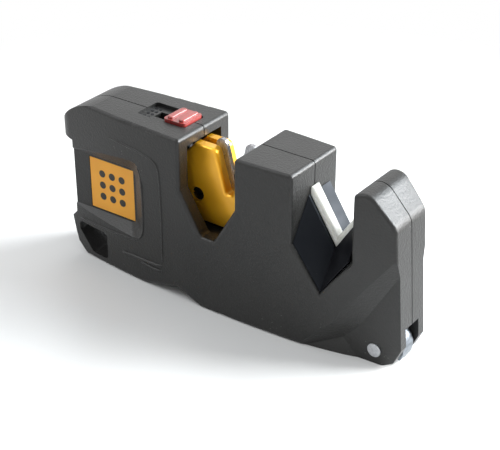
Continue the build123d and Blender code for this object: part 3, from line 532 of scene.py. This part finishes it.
def grid_piece(name, tree, values, place):
    """A grid of studs as a plain mesh on the root body; place is the matrix that puts it there."""
    holder = bpy.data.objects.new(name + "_maker", bpy.data.meshes.new(name + "_maker"))
    bpy.context.scene.collection.objects.link(holder)
    modifier = holder.modifiers.new("studs", "NODES")
    modifier.node_group = tree
    sockets = {item.name: item.identifier for item in tree.interface.items_tree if item.in_out == "INPUT"}
    for label, value in values.items():
        modifier[sockets[label]] = value
    depsgraph = bpy.context.evaluated_depsgraph_get()
    mesh = bpy.data.meshes.new_from_object(holder.evaluated_get(depsgraph))
    mesh.name = name
    holder.modifiers.remove(modifier)
    bpy.data.objects.remove(holder)
    mesh.transform(place)
    piece = bpy.data.objects.new(name, mesh)
    bpy.context.scene.collection.objects.link(piece)
    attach(piece, "root")
    return piece


def make_label_rim(low, high):
    """Thin black edge round the label plate, nearly flush with its face, from the plate's two corners."""
    border, bevel, proud, depth = 0.4 * MM, 0.1 * MM, 0.02 * MM, 0.35 * MM
    middle, reach = (low + high) / 2, (high - low) / 2
    front, rear = low.y - proud, low.y + depth
    shape = bmesh.new()
    rings = []
    for grow, y in ((-bevel, rear), (-bevel, front + bevel), (0, front), (border - bevel, front),
                    (border, front + bevel), (border, rear)):
        rings.append([
            shape.verts.new((middle.x + sx * (reach.x + grow), y, middle.z + sz * (reach.z + grow)))
            for sx, sz in ((-1, -1), (1, -1), (1, 1), (-1, 1))
        ])
    join_rings(shape, rings, rings[1:] + rings[:1])
    bmesh.ops.recalc_face_normals(shape, faces=shape.faces)
    add_piece("label_rim", shape, gloss_black, False)


def make_grids():
    """Generic dots on the label plate and at the open end of the slider's track."""
    tree = make_stud_tree()
    low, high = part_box("label_plate")
    on_plate = Matrix.Translation(((low.x + high.x) / 2, low.y, (low.z + high.z) / 2))
    grid_piece(
        "label_dots", tree,
        {"Columns": 3, "Rows": 3, "Column Pitch": 0.0034, "Row Pitch": 0.0034, "Stud Radius": 0.00105,
         "Stud Height": 0.0001, "Sides": 28, "Finish": satin_black},
        on_plate @ Matrix.Rotation(math.radians(90), 4, "X"),
    )
    make_label_rim(low, high)
    slider_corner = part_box("lock_slider")[0]
    slider_gap, reach_from_slider = 0.15 * MM, 6.7 * MM
    in_track = Matrix.Translation((slider_corner.x - reach_from_slider, 0, slider_corner.z - slider_gap))
    grid_piece(
        "track_dots", tree,
        {"Columns": 2, "Rows": 4, "Column Pitch": 0.0013, "Row Pitch": 0.0017, "Stud Radius": 0.00046,
         "Stud Height": 0.0002, "Sides": 14, "Finish": gloss_black},
        in_track,
    )


make_panel_lines()
make_grids()


# Stage, lamps and camera

# Height of the point that the lamps face
LAMP_AIM_HEIGHT = 0.03

# Name, direction, distance, size, power and tint of each lamp
LAMPS = (
    ("back_right_softbox", (0.62, 0.60, 0.54), 0.75, (0.46, 0.46), 10.0, (0.88, 0.95, 1.0)),
    ("right_softbox", (0.74, 0.62, 0.22), 0.80, (0.50, 0.36), 12.0, (1.0, 0.99, 0.98)),
    ("front_fill", (0.0, -0.85, 0.60), 0.90, (0.60, 0.60), 0.3, (1.0, 0.98, 0.95)),
    ("back_left_softbox", (-0.30, 0.75, 0.62), 0.80, (0.50, 0.50), 0.8, (1.0, 1.0, 1.0)),
    ("top_left_softbox", (-0.50, -0.33, 0.78), 0.80, (0.40, 0.40), 2.0, (0.95, 0.98, 1.0)),
)


def seen_rays(tree):
    """1 for rays from the camera, and for those that a shiny or clear surface sends on; 0 for the rest."""
    paths = add_node(tree, "ShaderNodeLightPath")
    seen = paths.outputs["Is Camera Ray"]
    for label in ("Is Glossy Ray", "Is Transmission Ray"):
        larger = add_node(tree, "ShaderNodeMath", operation="MAXIMUM")
        tree.links.new(seen, larger.inputs[0])
        tree.links.new(paths.outputs[label], larger.inputs[1])
        seen = larger.outputs[0]
    return seen


def make_floor():
    """Plain pale floor under the sharpener, which turns white away from it where it is seen."""
    half_size, pale_reach, white_reach = 3.0, 0.03, 0.20
    mesh = bpy.data.meshes.new("floor")
    corners = [(sx * half_size, sy * half_size, 0) for sx, sy in ((-1, -1), (1, -1), (1, 1), (-1, 1))]
    mesh.from_pydata(corners, [], [(0, 1, 2, 3)])
    floor = bpy.data.objects.new("floor", mesh)
    bpy.context.scene.collection.objects.link(floor)
    material, tree, shader = start_material("pale_floor", {"Roughness": 0.9, "Specular IOR Level": 0.1})
    shader.inputs["Base Color"].default_value = (0.90, 0.892, 0.878, 1.0)
    away = add_node(tree, "ShaderNodeVectorMath", operation="LENGTH")
    tree.links.new(add_node(tree, "ShaderNodeTexCoord").outputs["Object"], away.inputs[0])
    far_share = add_node(tree, "ShaderNodeMath", operation="MULTIPLY")
    tree.links.new(ramped(tree, away.outputs["Value"], pale_reach, white_reach), far_share.inputs[0])
    tree.links.new(seen_rays(tree), far_share.inputs[1])
    white = add_node(tree, "ShaderNodeEmission")
    mix = add_node(tree, "ShaderNodeMixShader")
    tree.links.new(far_share.outputs[0], mix.inputs[0])
    tree.links.new(shader.outputs[0], mix.inputs[1])
    tree.links.new(white.outputs[0], mix.inputs[2])
    tree.links.new(mix.outputs[0], tree.nodes["Material Output"].inputs["Surface"])
    mesh.materials.append(material)


def make_lamp(name, direction, distance, size, power, tint):
    """A soft lamp that faces the sharpener."""
    lamp = bpy.data.lights.new(name, "AREA")
    lamp.shape = "RECTANGLE"
    lamp.size, lamp.size_y = size
    lamp.energy = power
    lamp.color = tint
    holder = bpy.data.objects.new(name, lamp)
    bpy.context.scene.collection.objects.link(holder)
    away = Vector(direction).normalized()
    holder.location = away * distance + Vector((0, 0, LAMP_AIM_HEIGHT))
    holder.rotation_euler = away.to_track_quat("Z", "Y").to_euler()


def make_world():
    """Studio light that is stronger from behind on the right, and plain white where it is seen."""
    world = bpy.data.worlds.new("studio")
    bpy.context.scene.world = world
    world.use_nodes = True
    tree = world.node_tree
    sky = tree.nodes["Background"]
    sky.inputs["Color"].default_value = (0.94, 0.97, 1.0, 1.0)
    towards = add_node(tree, "ShaderNodeVectorMath", operation="DOT_PRODUCT")
    towards.inputs[1].default_value = (0.56, 0.62, 0.55)
    tree.links.new(add_node(tree, "ShaderNodeTexCoord").outputs["Generated"], towards.inputs[0])
    level = add_node(tree, "ShaderNodeMapRange", interpolation_type="SMOOTHSTEP")
    for label, value in (("From Min", -0.5), ("From Max", 0.95), ("To Min", 0.22), ("To Max", 0.74)):
        level.inputs[label].default_value = value
    tree.links.new(towards.outputs["Value"], level.inputs["Value"])
    tree.links.new(level.outputs["Result"], sky.inputs["Strength"])
    seen = add_node(tree, "ShaderNodeBackground")
    seen.inputs["Color"].default_value = (1.0, 1.0, 1.0, 1.0)
    mix = add_node(tree, "ShaderNodeMixShader")
    tree.links.new(seen_rays(tree), mix.inputs[0])
    tree.links.new(sky.outputs[0], mix.inputs[1])
    tree.links.new(seen.outputs[0], mix.inputs[2])
    tree.links.new(mix.outputs[0], tree.nodes["World Output"].inputs[0])


def make_camera():
    """Camera at the photograph's place, aim and lens."""
    camera = bpy.data.cameras.new("photo_camera")
    camera.sensor_width = 36.0
    camera.lens = 97.2
    camera.clip_start = 0.01
    holder = bpy.data.objects.new("photo_camera", camera)
    bpy.context.scene.collection.objects.link(holder)
    aim = Vector((-0.5107, 0.7039, -0.4936))
    holder.location = (0.1818, -0.2435, 0.1931)
    holder.rotation_euler = aim.to_track_quat("-Z", "Y").to_euler()
    bpy.context.scene.camera = holder


make_floor()
for lamp in LAMPS:
    make_lamp(*lamp)
make_world()
make_camera()
bpy.context.scene.view_settings.view_transform = "Standard"
